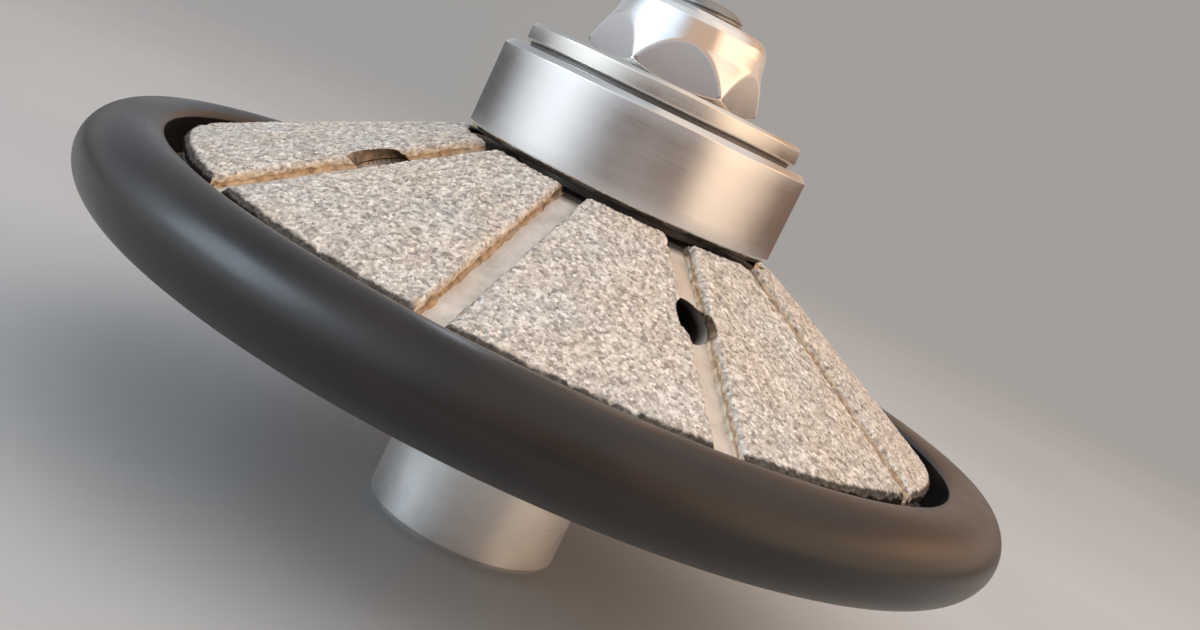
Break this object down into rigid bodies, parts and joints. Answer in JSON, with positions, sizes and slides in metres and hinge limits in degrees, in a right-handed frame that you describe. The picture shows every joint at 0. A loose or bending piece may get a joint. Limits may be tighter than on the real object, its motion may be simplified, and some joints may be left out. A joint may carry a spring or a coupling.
{
  "type": "diamond profile wheel with guide bearing",
  "caption": "Conical diamond grinding wheel with brazed segments, a black guide disc with a rounded bead, a ball-bearing guide under a nut, and a threaded spindle hub.",
  "frame": {"origin": "centre of the hub's end face, at the mouth of the spindle thread", "axes": "+Z along the spindle axis, from the thread's mouth towards the nut; +X through one of the slots that has a coolant hole"},
  "size_m": [0.104, 0.104, 0.0631],
  "materials": {
    "hub_steel": "satin",
    "disc_black": "semi-gloss",
    "core_steel": "matt",
    "screw_black": "satin",
    "braze_bronze": "satin",
    "diamond_segment": "rough",
    "spacer_steel": "satin",
    "bearing_steel": "polished",
    "cage_brass": "satin",
    "shield_steel": "satin",
    "washer_steel": "satin",
    "nut_chrome": "polished",
    "stud_steel": "satin"
  },
  "bodies": {
    "wheel": {"spindle_hub": "hub_steel", "guide_disc": "disc_black", "core": "core_steel", "flange_screws": "screw_black", "braze_joints": "braze_bronze", "segment_01": "diamond_segment", "segment_02": "diamond_segment", "segment_03": "diamond_segment", "segment_04": "diamond_segment", "segment_05": "diamond_segment", "segment_06": "diamond_segment", "segment_07": "diamond_segment", "segment_08": "diamond_segment", "segment_09": "diamond_segment", "segment_10": "diamond_segment", "lower_spacer": "spacer_steel", "bearing_inner_ring": "bearing_steel", "shim_ring": "spacer_steel", "cap_washer": "washer_steel", "nut": "nut_chrome", "stud": "stud_steel"},
    "guide_bearing_ring": {"bearing_outer_ring": "bearing_steel", "bearing_shield_upper": "shield_steel", "bearing_shield_lower": "shield_steel"},
    "cage_and_balls": {"bearing_cage": "cage_brass", "bearing_balls": "bearing_steel"}
  },
  "joints": [
    {"name": "bearing_spin", "type": "hinge", "parent": "wheel", "child": "guide_bearing_ring", "pos_m": [0, 0, 0.046], "axis": [0, 0, 1], "continuous": true},
    {"name": "cage_orbit", "type": "hinge", "parent": "wheel", "child": "cage_and_balls", "pos_m": [0, 0, 0.046], "axis": [0, 0, 1], "continuous": true}
  ],
  "couplings": [
    {"joint": "cage_orbit", "follows": "bearing_spin", "ratio": 0.5915}
  ]
}
